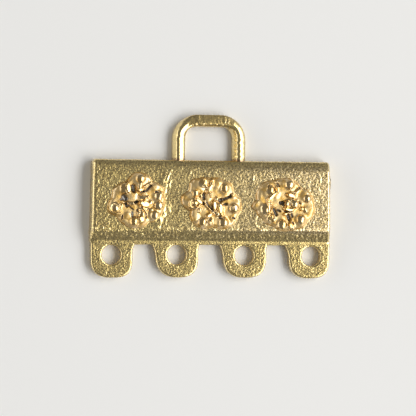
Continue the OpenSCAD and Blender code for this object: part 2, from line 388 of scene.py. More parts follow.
def bar_skin():
    """Rings of the bar's section along its length. Each ring is set out to the slightly longer
    eyelet edge, the last few turn in by a quarter of a superellipse a little flatter than a circle,
    and then shrink to the middle of the end. Both end walls lean, the left one back and the right
    one out at its foot, and the sprue's nub stands out of the right one by a flat-topped bell. The
    mark "pale" grows to the right over the front: it paints a paler highlight there."""
    half_w = bar_w / 2
    table_spacing, spacing = 0.34, 0.066
    section = rounded_outline(
        [
            (-half_w, 0), (half_w, 0), (half_w, edge_loop_t), (half_w - bevel_loop, bar_t),
            (-half_w + bevel_eyelet, bar_t), (-half_w + ledge_w, edge_eyelet_t),
            (-half_w, edge_eyelet_t - 0.04),
        ],
        [0.10, 0.10, 0.22, 0.74, 0.36, 0.16, 0.16],
        lambda at: np.where(at[:, 1] < 0.02, table_spacing, spacing),
    )
    turn = np.radians([0, 15, 30, 45, 60, 75, 90])
    turned = np.full(8, turn[-1])
    shrink = np.array([0.985, 0.95, 0.88, 0.78, 0.64, 0.46, 0.24, 0.0])
    middle = np.linspace(-1, 1, 366)[1:-1]
    end = np.ones(len(turn) + len(shrink))
    share = np.concatenate([-end, middle, end])
    bend = np.concatenate([turned, turn[::-1], np.zeros(len(middle)), turn, turned])
    scale = np.concatenate([shrink[::-1], np.ones(len(share) - 2 * len(shrink)), shrink])
    rounding = np.where(share < 0, left_round, right_round)
    flatness = 1.3
    inset = rounding * (1 - np.cos(bend) ** flatness)
    out = np.sign(share) * rounding * np.sin(bend) ** flatness
    y, z = section[:, 0], section[:, 1]
    high = bar_t / 2
    y = y * (scale * (1 - inset / half_w))[:, None]
    z = high + (z - high) * (scale * (1 - inset / high))[:, None]
    longer = (bar_l_eyelet_edge - bar_l_loop_edge) / 2
    half_l = bar_l_loop_edge / 2 + longer * (half_w - y) / bar_w
    x = share[:, None] * (half_l - rounding[:, None]) + out[:, None]
    height = z / bar_t
    x = x + left_lean * height * ramp(0.8, 0.1, x + half_l)
    x = x + (right_over + right_lean * (1 - height)) * ramp(0.8, 0.1, half_l - x)
    nub = nub_l * np.exp(-(((y - nub_y) / nub_half_w) ** 4))
    nub = nub * ramp(0.1, 0.3, z) * ramp(edge_loop_t + 0.1, edge_loop_t - 0.15, z)
    x = x + nub * ramp(bar_l_loop_edge / 2 - 0.4, bar_l_loop_edge / 2 - 0.02, x)
    points = np.stack([x, y, z], axis=-1) + bar_mid
    square = facing(points)
    square[0], square[-1] = (-1, 0, 0), (1, 0, 0)
    raised = points + square * cast_skin(points)[..., None]
    raised[..., 2] = np.maximum(raised[..., 2], 0)
    raised[0], raised[-1] = raised[0].mean(axis=0), raised[-1].mean(axis=0)
    # The mark paints a highlight: it pales the front towards the right
    return raised, {"pale": ramp(-9, 11, x) * ramp(bar_t - 0.35, bar_t - 0.05, z)}


bar = lay_skin("cast_bar", bar_skin(), grained_gold)
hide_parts("bar")
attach(bar, "root")


# ---- The rosettes ----
# Three flowers in relief, cast with the bar: low round petals around the edge, each with a bead,
# and raised inner petals around small pits. The high parts are burnished bright by wear and
# tumbling, while the pits and creases are painted dark: old dirt and polish, and painted shade.
ROSETTES = {
    "rosette_left": {
        "centre": (-7.65, 0.20),
        # x, y of the flower's edge, anticlockwise
        "edge": [
            (2.78, -0.23), (2.78, 0.68), (2.65, 1.27), (2.18, 1.60), (1.70, 1.72), (1.43, 1.92),
            (1.33, 2.20), (1.13, 2.43), (0.77, 2.58), (0.05, 2.70), (-0.55, 2.52), (-0.95, 2.13),
            (-1.12, 1.84), (-1.50, 1.60), (-2.00, 1.43), (-2.32, 1.20), (-2.56, 0.93),
            (-2.60, 0.52), (-2.67, 0.20), (-2.85, -0.10), (-2.97, -0.47), (-2.99, -0.87),
            (-2.85, -1.24), (-2.55, -1.46), (-2.22, -1.60), (-2.05, -1.78), (-1.80, -2.05),
            (-1.50, -2.30), (-1.12, -2.62), (-0.57, -2.84), (0.07, -2.80), (0.58, -2.70),
            (0.98, -2.48), (1.30, -2.18), (1.73, -2.05), (2.12, -1.78), (2.47, -1.37),
            (2.70, -0.90),
        ],
        # x, y, radius, height above the front
        "lobes": [
            (0.22, 1.95, 0.95, 0.56), (-1.62, 1.02, 0.95, 0.54), (-2.27, -0.85, 0.62, 0.46),
            (-0.98, -1.60, 0.62, 0.50), (-0.42, -2.10, 0.75, 0.54), (0.42, -1.95, 0.72, 0.54),
            (1.60, -1.42, 0.90, 0.56), (2.08, -0.52, 0.72, 0.54), (2.02, 0.42, 0.85, 0.54),
            (1.70, 1.25, 0.60, 0.46), (0.55, -0.50, 0.80, 0.55), (-0.60, 0.40, 0.80, 0.46),
            (0.55, 0.35, 0.70, 0.48),
        ],
        # x, y, radius of the ball, radius of the foot, height above the front
        "beads": [
            (0.23, 2.10, 0.60, 0.43, 0.76), (-1.38, 1.12, 0.72, 0.52, 0.76),
            (-0.38, -2.12, 0.60, 0.43, 0.75), (1.67, -1.50, 0.58, 0.42, 0.76),
            (2.08, 0.45, 0.56, 0.41, 0.74), (2.08, -0.55, 0.60, 0.40, 0.70),
            (-2.27, -0.86, 0.52, 0.36, 0.60), (1.25, -0.28, 0.30, 0.20, 0.66),
            (0.36, -1.28, 0.40, 0.30, 0.70),
        ],
        # x1, y1, x2, y2, radius, height above the front
        "petals": [
            (0.22, -0.20, 0.30, -0.25, 0.30, 0.65), (0.62, -0.35, 0.98, -0.42, 0.32, 0.67),
            (0.42, -0.70, 0.52, -0.78, 0.22, 0.59), (0.20, 1.55, 0.12, 1.02, 0.22, 0.64),
            (-1.72, -0.48, -1.84, -1.10, 0.20, 0.62), (-0.98, -0.34, -0.45, -0.32, 0.16, 0.64),
            (0.10, 0.38, 1.00, 0.30, 0.14, 0.62), (0.15, 0.14, 0.70, 0.14, 0.12, 0.62),
            (0.28, -1.90, 0.52, -2.00, 0.30, 0.62), (1.15, -0.95, 1.35, -0.92, 0.24, 0.59),
            (0.55, 1.32, 1.22, 1.72, 0.10, 0.58), (0.66, 0.88, 0.70, 0.92, 0.12, 0.58),
        ],
        # x, y, half length, half width, turn in degrees, height above the front
        "facets": [
            (0.63, -0.40, 0.52, 0.28, -8, 0.80), (-1.68, -0.71, 0.34, 0.13, 65, 0.66),
            (-1.04, 1.20, 0.42, 0.24, 100, 0.76), (0.21, 1.00, 0.24, 0.18, 0, 0.72),
            (0.07, -1.25, 0.12, 0.18, 0, 0.68), (0.48, -1.40, 0.12, 0.20, 0, 0.68),
            (0.32, -1.90, 0.30, 0.28, 20, 0.70), (2.20, 0.30, 0.32, 0.16, 90, 0.72),
            (2.20, -0.52, 0.26, 0.18, 90, 0.70),
        ],
        # x, y, ring radius, radius of its rim, height above the front
        "rings": [(-2.27, -0.86, 0.52, 0.12, 0.50), (0.36, -1.28, 0.42, 0.10, 0.60)],
        # x1, y1, x2, y2, radius, depth
        "pits": [
            (-0.46, 1.30, -0.44, 0.92, 0.26, 0.55), (-1.40, 0.30, -1.25, 0.12, 0.34, 0.55),
            (-1.75, 0.02, -1.45, 0.10, 0.16, 0.35), (-1.22, -0.35, -1.12, -0.62, 0.16, 0.45),
            (-0.98, -0.55, -0.50, -0.92, 0.08, 0.40), (-0.28, -0.26, -0.14, -0.20, 0.17, 0.42),
            (-1.56, -1.62, -1.58, -1.88, 0.11, 0.40), (1.32, 1.42, 0.92, 0.98, 0.14, 0.50),
            (0.85, 0.92, 0.28, 0.80, 0.10, 0.45), (1.78, 0.82, 1.95, 0.78, 0.12, 0.25),
            (-0.62, -1.25, -0.60, -1.62, 0.13, 0.14), (0.74, -1.30, 0.80, -1.80, 0.08, 0.16),
            (-0.12, -0.98, -0.02, -1.15, 0.08, 0.30),
        ],
        "seed": 21,
    },
    "rosette_middle": {
        "centre": (0.05, 0.05),
        "edge": [
            (2.92, 0.00), (2.78, 0.38), (2.42, 0.66), (2.14, 0.99), (2.09, 1.44), (1.98, 1.76),
            (1.56, 2.04), (1.18, 2.17), (0.71, 2.36), (0.25, 2.48), (-0.26, 2.43), (-0.97, 2.46),
            (-1.50, 2.36), (-2.05, 2.28), (-2.43, 1.95), (-2.46, 1.47), (-2.52, 1.10),
            (-2.86, 0.90), (-3.22, 0.57), (-3.32, 0.20), (-3.22, -0.20), (-2.86, -0.55),
            (-2.30, -0.90), (-2.34, -1.25), (-2.20, -1.71), (-1.96, -2.09), (-1.57, -2.45),
            (-1.10, -2.62), (-0.55, -2.62), (0.01, -2.46), (0.48, -2.53), (1.04, -2.66),
            (1.69, -2.53), (2.13, -2.22), (2.36, -1.77), (2.57, -1.35), (2.77, -1.00),
            (2.94, -0.53),
        ],
        "lobes": [
            (-1.45, 1.75, 0.95, 0.54), (0.35, 1.75, 0.80, 0.52), (1.18, 1.35, 0.95, 0.56),
            (-2.20, 0.10, 1.00, 0.54), (-1.85, -1.50, 0.70, 0.50), (-1.10, -1.95, 0.80, 0.54),
            (-0.45, -1.75, 0.60, 0.52), (1.05, -1.95, 0.90, 0.54), (2.10, -0.60, 0.90, 0.56),
            (2.00, 0.60, 0.50, 0.42), (0.35, -0.60, 0.95, 0.56), (2.00, -1.60, 0.60, 0.46),
            (-0.60, 0.50, 0.60, 0.48),
        ],
        "beads": [
            (1.09, 1.43, 0.60, 0.44, 0.76), (-1.15, 1.93, 2.60, 0.44, 0.62),
            (-1.14, -1.98, 0.60, 0.42, 0.75), (1.02, -1.99, 0.66, 0.48, 0.75),
            (2.10, -0.58, 0.64, 0.46, 0.78), (-2.00, -0.14, 0.46, 0.34, 0.72),
            (-1.86, 0.86, 0.42, 0.32, 0.68), (0.27, 0.35, 0.25, 0.16, 0.62),
            (1.92, 0.74, 0.28, 0.18, 0.60),
        ],
        "petals": [
            (-0.16, 2.12, -0.24, 1.72, 0.20, 0.64), (-0.24, 1.72, -0.66, 1.08, 0.28, 0.63),
            (-0.30, 0.90, -0.32, 0.66, 0.18, 0.64), (-1.98, 0.26, -1.46, -0.02, 0.20, 0.59),
            (-1.46, -0.02, -1.44, -0.22, 0.22, 0.59), (-1.38, 0.72, -1.26, 0.52, 0.16, 0.59),
            (0.02, -0.08, 0.06, -0.72, 0.30, 0.69), (0.66, -0.30, 0.66, -0.62, 0.28, 0.67),
            (0.70, -0.80, 0.80, -1.18, 0.30, 0.61), (0.36, -1.08, 0.46, -1.22, 0.22, 0.64),
            (-1.02, 0.16, -0.78, -0.34, 0.10, 0.62), (-0.78, -0.34, -0.16, -0.98, 0.10, 0.62),
            (-0.16, -0.98, 0.34, -1.34, 0.10, 0.60), (-0.72, -1.36, -0.40, -1.22, 0.16, 0.62),
            (-0.40, -1.22, -0.18, -1.56, 0.16, 0.62), (-0.36, -2.00, -0.26, -2.16, 0.20, 0.61),
            (-1.42, -0.70, -1.46, -0.92, 0.18, 0.56), (-0.86, 1.68, -0.72, 1.46, 0.14, 0.59),
        ],
        "facets": [
            (-0.42, 1.42, 0.42, 0.16, 52, 0.78), (-0.14, 2.17, 0.16, 0.12, 0, 0.72),
            (-1.90, -0.08, 0.26, 0.18, -20, 0.74), (-1.53, 0.08, 0.40, 0.15, -40, 0.78),
            (-1.86, 1.00, 0.28, 0.14, 0, 0.68), (0.05, -0.33, 0.42, 0.20, 95, 0.80),
            (0.64, -0.62, 0.48, 0.24, 100, 0.78), (2.16, -0.54, 0.32, 0.26, 90, 0.76),
            (-0.45, -1.30, 0.30, 0.20, 20, 0.72), (-0.36, -2.00, 0.24, 0.13, 90, 0.72),
        ],
        "rings": [(-2.00, -0.14, 0.50, 0.10, 0.62)],
        "pits": [
            (-0.98, 0.80, -0.98, 0.34, 0.17, 0.50), (-1.08, -0.08, -1.02, -0.20, 0.12, 0.30),
            (0.66, 0.18, 0.78, 0.22, 0.22, 0.50), (1.00, 0.28, 1.72, 0.58, 0.15, 0.50),
            (1.72, 0.58, 1.74, 0.78, 0.10, 0.40), (1.14, -0.20, 1.36, -0.16, 0.14, 0.42),
            (-0.72, -0.02, -0.52, -0.42, 0.11, 0.16), (-0.52, -0.42, 0.20, -1.10, 0.07, 0.10),
            (-0.38, -1.74, -0.34, -1.82, 0.12, 0.38), (1.98, -1.54, 2.12, -1.58, 0.11, 0.34),
            (0.62, -1.55, 0.82, -1.62, 0.12, 0.25), (1.45, 2.12, 1.20, 2.22, 0.06, 0.20),
        ],
        "seed": 22,
    },
    "rosette_right": {
        "centre": (7.40, 0.0),
        "edge": [
            (3.18, -0.06), (3.03, 0.58), (2.82, 0.94), (2.50, 1.43), (1.98, 1.55), (1.66, 1.72),
            (1.41, 2.12), (0.98, 2.30), (0.60, 2.48), (0.03, 2.57), (-0.53, 2.52), (-0.88, 2.38),
            (-1.26, 2.32), (-1.78, 2.18), (-2.32, 2.02), (-2.60, 1.65), (-2.84, 1.30),
            (-2.92, 0.78), (-2.92, 0.37), (-3.20, 0.15), (-3.42, -0.30), (-3.20, -0.62),
            (-2.86, -0.80), (-2.67, -1.13), (-2.34, -1.48), (-2.10, -1.80), (-1.60, -2.08),
            (-1.13, -2.30), (-0.66, -2.54), (0.09, -2.70), (0.85, -2.64), (1.22, -2.54),
            (1.83, -2.40), (2.30, -2.10), (2.60, -1.70), (3.00, -1.37), (3.23, -0.70),
        ],
        "lobes": [
            (-1.75, 1.25, 1.00, 0.54), (-0.10, 1.95, 0.60, 0.48), (0.50, 1.85, 0.85, 0.56),
            (2.15, 0.75, 0.85, 0.54), (2.55, -0.60, 0.80, 0.50), (-2.10, -0.60, 0.95, 0.56),
            (-1.50, -1.55, 0.65, 0.46), (-0.30, -2.05, 0.85, 0.54), (0.65, -2.10, 0.60, 0.50),
            (1.65, -1.65, 0.90, 0.56), (0.60, -0.10, 0.95, 0.56), (-0.90, 0.90, 0.70, 0.48),
            (0.85, 0.90, 0.60, 0.50),
        ],
        "beads": [
            (-1.55, 1.35, 0.60, 0.44, 0.74), (0.45, 1.91, 0.62, 0.45, 0.76),
            (2.32, 0.52, 0.54, 0.39, 0.74), (-1.98, -0.58, 0.72, 0.53, 0.78),
            (-0.27, -2.12, 0.64, 0.47, 0.76), (1.66, -1.60, 0.58, 0.41, 0.76),
            (0.18, 0.00, 0.42, 0.30, 0.82), (0.98, -0.06, 0.50, 0.38, 0.84),
            (0.90, 0.68, 0.24, 0.16, 0.64), (1.72, -0.50, 0.26, 0.18, 0.62),
            (-1.38, -1.30, 0.24, 0.15, 0.60), (-0.90, 2.12, 0.22, 0.14, 0.58),
        ],
        "petals": [
            (-0.82, 1.62, -0.80, 1.25, 0.20, 0.64), (-0.95, 1.10, -1.62, 0.42, 0.24, 0.64),
            (0.28, 0.84, 0.62, 1.06, 0.20, 0.62), (1.12, 1.12, 1.42, 1.40, 0.18, 0.61),
            (-1.78, 0.06, -1.48, 0.04, 0.16, 0.62), (0.02, -0.46, 0.82, -0.54, 0.16, 0.61),
            (0.00, -1.00, 0.40, -0.98, 0.16, 0.59), (-1.28, -0.34, -0.96, -0.56, 0.10, 0.62),
            (0.62, -2.00, 0.80, -2.42, 0.20, 0.61), (-1.70, -1.55, -1.20, -1.62, 0.20, 0.58),
            (2.00, -0.48, 2.12, -0.72, 0.20, 0.60), (0.35, 0.36, 1.25, 0.30, 0.14, 0.59),
        ],
        "facets": [
            (-0.78, 1.35, 0.28, 0.12, 90, 0.72), (-1.35, 0.72, 0.48, 0.18, 42, 0.76),
            (-1.74, -0.40, 0.48, 0.14, 95, 0.76), (0.57, 0.85, 0.38, 0.20, -10, 0.74),
            (1.28, 1.18, 0.28, 0.10, 40, 0.68), (0.15, -0.02, 0.24, 0.20, 0, 0.80),
            (1.03, -0.05, 0.34, 0.20, 20, 0.80), (0.36, -0.60, 0.48, 0.14, -10, 0.70),
            (0.57, -2.20, 0.30, 0.13, 100, 0.72), (0.11, -1.07, 0.24, 0.12, 0, 0.66),
        ],
        "rings": [(-1.38, -1.45, 0.40, 0.09, 0.52)],
        "pits": [
            (-1.12, -0.55, -0.86, -1.10, 0.17, 0.52), (-0.80, -0.66, -0.52, -0.78, 0.11, 0.40),
            (0.40, -1.20, 0.52, -1.50, 0.22, 0.52), (0.72, -1.02, 0.84, -1.30, 0.11, 0.35),
            (-0.50, 0.06, -0.20, 0.10, 0.18, 0.40), (-0.20, 0.20, -0.20, -0.15, 0.10, 0.35),
            (-0.82, 2.04, -0.62, 1.76, 0.10, 0.36), (1.46, 1.62, 1.50, 1.58, 0.12, 0.30),
            (-1.66, 1.78, -1.72, 1.66, 0.10, 0.30), (1.55, 0.20, 1.62, 0.04, 0.09, 0.28),
            (-0.10, -0.80, 0.70, -0.78, 0.05, 0.25), (0.82, -1.85, 0.86, -2.05, 0.08, 0.28),
        ],
        "seed": 23,
    },
}
shoulder_w = 0.42
mound_t = 0.42
patch_half_l = 3.55
patch_half_w = 3.02
patch_sunk = 0.30
patch_foot = 0.55
lobe_over_mound = 0.16
# How wide the softly filled creases are
lobe_melt, part_melt, foot_melt = 0.05, 0.035, 0.02
# Slopes: of the sides of balls and beads, past the mound's edge, and of the facets and their sides
STEEP, MOUND_FALL, FACET_SLOPE, FACET_SIDES = 2.5, 1.5, 0.19, 2.0
FACET_CROWN = 0.04
# What the pits' radii and depths in the tables are multiplied by
PIT_WIDER, PIT_SHALLOWER = 1.15, 0.55


def near_line(x, y, x1, y1, x2, y2):
    """How far each place is from a line between two points."""
    dx, dy = x2 - x1, y2 - y1
    along = np.clip(((x - x1) * dx + (y - y1) * dy) / (dx * dx + dy * dy), 0, 1)
    return np.hypot(x - x1 - along * dx, y - y1 - along * dy)


def reach_by_bearing(line, angles):
    """How far a closed line around the origin lies from it in each direction."""
    bearing = np.arctan2(line[:, 1], line[:, 0])
    order = np.argsort(bearing)
    reach = np.hypot(line[:, 0], line[:, 1])
    return np.interp(angles, bearing[order], reach[order], period=2 * np.pi)


def mound(x, y, edge):
    """The low cushion that the flower grows on: how far each place lies inside the edge along its
    ray, raised by a quarter ellipse. Outside, it falls away."""
    inside = reach_by_bearing(np.array(edge), np.arctan2(y, x)) - np.hypot(x, y)
    share = np.clip(inside / shoulder_w, 0, 1)
    return mound_t * np.sqrt(1 - (1 - share) ** 2) + np.minimum(inside, 0) * MOUND_FALL


def domes(x, y, table):
    """Low round lobes: height times one minus the cube of the distance over the radius."""
    cx, cy, radius, height = each_row(table)
    return height * (1 - (np.hypot(x - cx, y - cy) / radius) ** 3)


def ball_tops(away, radius, height):
    """The top of a ball at that height; past the ball's edge it falls away steeply."""
    cap = np.sqrt(np.maximum(radius ** 2 - away ** 2, 0))
    return height - radius + cap - STEEP * np.maximum(away - radius, 0)


def beads(x, y, table):
    """Beads: shallow caps of balls, cut off steeply at their foot."""
    cx, cy, radius, foot, height = each_row(table)
    away = np.hypot(x - cx, y - cy)
    return ball_tops(np.minimum(away, foot), radius, height) - STEEP * np.maximum(away - foot, 0)


def petals(x, y, table):
    """Petals: the tops of balls that are drawn along a line."""
    x1, y1, x2, y2, radius, height = each_row(table)
    return ball_tops(near_line(x, y, x1, y1, x2, y2), radius, height)


def rings(x, y, table):
    """Rings: the tops of balls that are drawn around a circle."""
    cx, cy, ring, radius, height = each_row(table)
    return ball_tops(np.abs(np.hypot(x - cx, y - cy) - ring), radius, height)


def facets(x, y, table):
    """Worn tops: oval plates that slope down to the right, with steep sides. They round off by the
    fourth power of the distance from their middle."""
    cx, cy, half_length, half_width, turn, height = each_row(table)
    cos, sin = np.cos(np.radians(turn)), np.sin(np.radians(turn))
    dx, dy = x - cx, y - cy
    share = np.hypot((dx * cos + dy * sin) / half_length, (dy * cos - dx * sin) / half_width)
    top = height - FACET_SLOPE * dx - FACET_CROWN * share ** 4
    return top - FACET_SIDES * half_width * np.maximum(share - 1, 0)


def pits(x, y, table):
    """Pits and cracks: steep-sided bowls that are drawn along a line. Their depth, and how far into
    the nearest one each place is, by one minus the square of its distance from the line."""
    x1, y1, x2, y2, radius, depth = each_row(table)
    away = near_line(x, y, x1, y1, x2, y2) / (PIT_WIDER * radius)
    into = np.clip(1 - away ** 2, 0, 1)
    return (PIT_SHALLOWER * depth * into).max(axis=0), into.max(axis=0)


def melt(heights, softness):
    """The highest of several heights, with the creases between them filled softly: the logarithm
    of the sum of their exponentials. Also how much of a crease each place is, from 0 to 1."""
    top = heights.max(axis=0)
    total = np.exp((heights - top) / softness).sum(axis=0)
    return top + softness * np.log(total), 1 - 1 / total


def rosette_skin(plan):
    """A round patch over the front, on rays and rings from the rosette's centre: the flower's
    relief on top of the bar's own skin, sunk below it outside the flower, and a flat underside.
    Its places are bent by wandering numbers, so that no part of the flower is quite regular. The
    mark "burnish" is the high parts, and "dirt" the pits and a little of the creases,
    painted dark as old dirt and painted shade."""
    rays, steps = 520, 104
    angle = np.linspace(0, 2 * np.pi, rays, endpoint=False)
    out = np.linspace(0, 1, steps)[:, None]
    x = patch_half_l * out * np.cos(angle)
    y = patch_half_w * out * np.sin(angle)
    flat = np.stack([x, y, np.zeros_like(x)], axis=-1)
    seed = plan["seed"]
    bent_x = x + lumps(flat, (0.06, 0.9, seed)) + lumps(flat, (0.015, 0.4, seed + 10))
    bent_y = y + lumps(flat, (0.06, 0.9, seed + 20)) + lumps(flat, (0.015, 0.4, seed + 30))
    cushion = mound(bent_x, bent_y, plan["edge"])
    low, _ = melt(np.concatenate([cushion[None], domes(bent_x, bent_y, plan["lobes"])]), lobe_melt)
    low = np.minimum(low, cushion + lobe_over_mound)
    shapes = {"beads": beads, "petals": petals, "rings": rings, "facets": facets}
    parts = [shape(bent_x, bent_y, plan[kind]) for kind, shape in shapes.items()]
    relief, crease = melt(np.concatenate([low[None]] + parts), part_melt)
    deep, into = pits(bent_x, bent_y, plan["pits"])
    relief = relief - deep
    centre = np.append(plan["centre"], bar_t) + bar_mid
    here = flat + centre
    in_flower = ramp(-0.02, 0.12, cushion)
    top, _ = melt(np.stack([relief, np.zeros_like(relief)]), foot_melt)
    height = top + cast_skin(here) * (1 - 0.8 * in_flower)
    height = height + lumps(here, (0.024, 0.55, seed + 40), (0.004, 0.2, seed + 50)) * in_flower
    height = height - patch_sunk * ramp(-0.05, -0.4, cushion)
    height = height - (patch_sunk - foot_melt) * ramp(0.93, 1.0, out) * ramp(0.2, 0.0, height)
    skin = here.copy()
    skin[..., 2] += height
    skin[0] = skin[0].mean(axis=0)
    under = skin[-1:].repeat(3, axis=0)
    under[..., 2] = bar_t - patch_foot
    inwards = np.array([1, 0.5, 0])[:, None, None]
    under[..., :2] = centre[:2] + inwards * (under[..., :2] - centre[:2])
    marks = {
        "burnish": in_flower * ramp(0.01, 0.08, relief - low),
        # Painted shade with dirt: the pits fully, the creases between parts by about a third
        "dirt": np.maximum(ramp(0.25, 0.85, into), 0.35 * crease * in_flower),
    }
    no_mark = np.zeros(under.shape[:2])
    marks = {name: np.concatenate([values, no_mark]) for name, values in marks.items()}
    return np.concatenate([skin, under]), marks


GOLD_WARM = (0.79, 0.475, 0.10, 1)
GOLD_PEACH = (0.81, 0.575, 0.24, 1)
# Painted shade and old dirt: the dark brown of the pits and of a little of the creases
PIT_DIRT_AND_SHADE = (0.11, 0.085, 0.05, 1)


def burnished_gold():
    """Gold worn bright on the high parts and painted dark in the pits and creases, with old dirt
    and painted shade, in two drifting tones.
    """
    finish = Finish("burnished_gold")
    fine = finish.grain(0.10, roughness=0.6)
    tone = finish.share(finish.grain(0.7), 0.38, 0.60)
    burnish = finish.mark("burnish")
    dirt = finish.mark("dirt")
    # The dark of the pits and creases is partly dirt and partly painted shade
    colour = finish.mix(dirt, finish.mix(tone, GOLD_WARM, GOLD_PEACH), PIT_DIRT_AND_SHADE)
    roughness = 0.46 - 0.33 * burnish + 0.05 * fine + 0.06 * dirt
    return finish.metal(colour, roughness, fine * (1.2 - 0.8 * burnish), 0.005)


worn_gold = burnished_gold()
for name, plan in ROSETTES.items():
    rosette = lay_skin(name, rosette_skin(plan), worn_gold)
    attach(rosette, "root")


# ---- The eyelets ----
# Four flat plates with round ends, cast with the bar at its lower edge, each drilled for the end
# of one strand. No two are quite alike: the mould's parting left them uneven and slightly flared.
plate_t = 0.95
front_round = 0.20
bore_lip = 0.18
back_round = 0.08
# How far below the bar the flare of each side starts, on the left and on the right
FLARE_FALL = (1.5, 0.75)
EYELET_FORMS = [
    # From the bore to the plate's middle, width, drop below the bar, squareness of the round end on
    # the left and right, flare on the left and right, and slope by which the front rises rightwards
    (0.03, 4.23, 3.32, 2.7, 3.1, 0.02, 0.20, 0.0),
    (0.03, 4.34, 3.28, 2.2, 2.8, 0.36, 0.10, 0.003),
    (0.05, 4.45, 3.27, 2.4, 2.8, 0.36, 0.10, 0.010),
    (-0.19, 4.22, 3.30, 2.5, 2.9, 0.42, 0.02, 0.014),
]


def eyelet_side(half, drop, squareness, flare, fall):
    """One side of the plate's edge: the lower end is a quarter of a superellipse, the side is
    straight, near the bar it flares by a falling square, and a line closes it inside the bar."""
    end_h, in_bar = half * 0.98, 0.25
    end_y = -drop + end_h
    t = np.radians(np.linspace(0, 90, 60))
    side_y = end_y * (1 - np.linspace(0.02, 1, 40))
    swell = np.clip((side_y + fall) / fall, 0, 1) ** 2
    closing = np.linspace(half + flare, 0.05, 20)
    return np.column_stack([
        np.concatenate([half * np.sin(t) ** (2 / squareness), half + flare * swell, closing]),
        np.concatenate([
            end_y - end_h * np.cos(t) ** (2 / squareness), side_y, np.full(len(closing), in_bar),
        ]),
    ])


def eyelet_outline(form, drop_to_bore, angles):
    """How far the plate's edge lies from the bore's centre in each direction."""
    shift, width, drop, square_left, square_right, flare_left, flare_right, _ = form
    left = eyelet_side(width / 2, drop, square_left, flare_left, FLARE_FALL[0]) * (-1, 1)
    right = eyelet_side(width / 2, drop, square_right, flare_right, FLARE_FALL[1])
    return reach_by_bearing(np.vstack([right, left[::-1]]) + (shift, drop_to_bore), angles)


def eyelet_skin(eye, form):
    """A ring of sections around the bore. Each runs up the bore's wall, over its rounded lip, along
    the front to the plate's edge, round it, down the wall and back under the plate. The grain fades
    out towards the bore, whose wall carries the mark "bore"."""
    centre = np.array(eye["pos_m"]) / MM
    bore_r = eye["dims"]["r_mm"]
    around = np.linspace(0, 2 * np.pi, 300, endpoint=False)
    edge = eyelet_outline(form, bar_mid[1] - bar_w / 2 - centre[1], around)
    turn = np.radians(np.linspace(0, 90, 6))
    back, ahead = 1 - np.cos(turn), 1 - np.sin(turn)
    # From the bore's wall outwards, from the edge inwards, share of the way between, and height
    stretches = [
        (0, 0, 0, np.linspace(back_round, plate_t - bore_lip, 6)),
        (bore_lip * back[1:], 0, 0, plate_t - bore_lip * ahead[1:]),
        (bore_lip, front_round, np.linspace(0, 1, 26)[1:-1], plate_t),
        (0, front_round * ahead[:-1], 1, plate_t - front_round * back[:-1]),
        (0, 0, 1, np.linspace(plate_t - front_round, back_round, 5)),
        (0, back_round * back[1:], 1, back_round * ahead[1:]),
        (back_round, back_round, np.linspace(1, 0, 10)[1:-1], 0),
        (back_round * ahead[:-1], 0, 0, back_round * back[:-1]),
    ]
    from_bore, from_edge, share, z = (
        np.concatenate(column) for column in zip(*(np.broadcast_arrays(*row) for row in stretches))
    )
    inner = bore_r + from_bore
    reach = inner + share * (edge[:, None] - from_edge - inner)
    points = np.stack([
        centre[0] + reach * np.cos(around)[:, None],
        centre[1] + reach * np.sin(around)[:, None],
        np.broadcast_to(z, reach.shape),
    ], axis=-1)
    square = facing(points, ring=True)
    outwards = np.sign(square[:, z.argmax(), 2].mean())
    grain = lumps(points, (0.010, 0.15, 5), (0.006, 0.8, 4), (0.004, 0.10, 6))
    from_wall = np.hypot(*(points[..., k] - centre[k] for k in (0, 1))) - bore_r
    grain = grain * ramp(0.3, 0.6, from_wall + z)
    raised = points + outwards * square * grain[..., None]
    tilt = form[-1]
    raised[..., 2] += tilt * (raised[..., 0] - centre[0]) * ramp(0.3, 0.7, raised[..., 2])
    raised[..., 2] = np.maximum(raised[..., 2], 0)
    bore = ramp(plate_t - 0.02, plate_t - 0.14, z) * (from_bore < bore_lip) * (share == 0)
    return raised, {"bore": np.broadcast_to(bore, reach.shape)}


eyes = [mount for mount in frame["record"]["mounts"] if mount["kind"] == "bore"]
for number, (eye, form) in enumerate(zip(eyes, EYELET_FORMS), 1):
    node = "eyelet_%d" % number
    eyelet = lay_skin("cast_" + node, eyelet_skin(eye, form), grained_gold, ring=True)
    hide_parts(node)
    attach(eyelet, "root")


# ---- The loop ----
# A squared U that takes the clasp, cast with the bar: flat at the back, with steep sides. Wear has
# left one smooth slope on the front of each leg, which ends in a jagged ridge; its top stays sandy.
loop_low, loop_high = (np.array(corner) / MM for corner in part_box("clasp_loop"))
metal_w = 1.25
loop_bend = 1.9
leg_sunk = 0.30
pinch = 0.08
core_z = 0.62
jag_l = 0.08
leg_wear = 0.75
# Each section's corners, outwards from the middle of the metal and above the table, and the reach
# of their rounding
RIGHT_LEG = (
    [(-0.66, 0.0), (0.60, 0.0), (0.61, 0.92),
     (0.42, 1.14), (0.03, 1.27), (-0.30, 1.25), (-0.74, 0.56)],
    [0.08, 0.08, 0.14, 0.14, 0.07, 0.14, 0.24],
)
TOP_BAR = (
    [(-0.70, 0.0), (0.56, 0.0), (0.56, 0.92),
     (0.46, 1.02), (-0.40, 1.28), (-0.62, 1.04), (-0.70, 0.78)],
    [0.08, 0.08, 0.07, 0.10, 0.22, 0.14, 0.12],
)
LEFT_LEG = (
    [(-0.60, 0.0), (0.64, 0.0), (0.70, 0.62),
     (0.33, 1.23), (0.04, 1.27), (-0.42, 1.14), (-0.61, 0.92)],
    [0.08, 0.08, 0.28, 0.16, 0.07, 0.14, 0.14],
)


